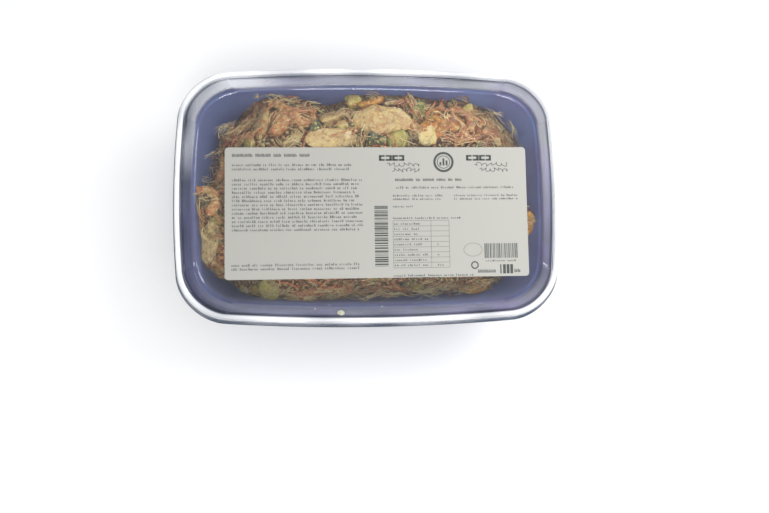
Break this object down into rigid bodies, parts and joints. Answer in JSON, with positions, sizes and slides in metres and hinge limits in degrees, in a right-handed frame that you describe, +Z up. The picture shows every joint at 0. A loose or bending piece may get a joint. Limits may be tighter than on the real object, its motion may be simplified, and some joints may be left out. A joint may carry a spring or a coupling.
{
  "type": "shrimp and mandarin salad in a closed catering tub",
  "caption": "Mixed salad of shrimp, mandarin and shredded vegetables in a rectangular plastic tub with a clear press-on lid and a paper label.",
  "frame": {"origin": "centre of the plane that the tub's foot stands on", "axes": "+X along the tub's long side, +Y along its short side, +Z up through the lid"},
  "size_m": [0.286, 0.193, 0.072],
  "materials": {
    "tub_plastic": "translucent slate-blue moulded plastic, satin inside",
    "lid_plastic": "clear thermoformed plastic, glossy",
    "label_paper": "matt off-white coated paper with plain dark print",
    "salad": "moist cooked shrimp, mandarin segments and shredded vegetables in a light dressing"
  },
  "bodies": {
    "root": {"tub": "tub_plastic", "lid": "lid_plastic", "label": "label_paper", "salad": "salad"}
  },
  "joints": []
}
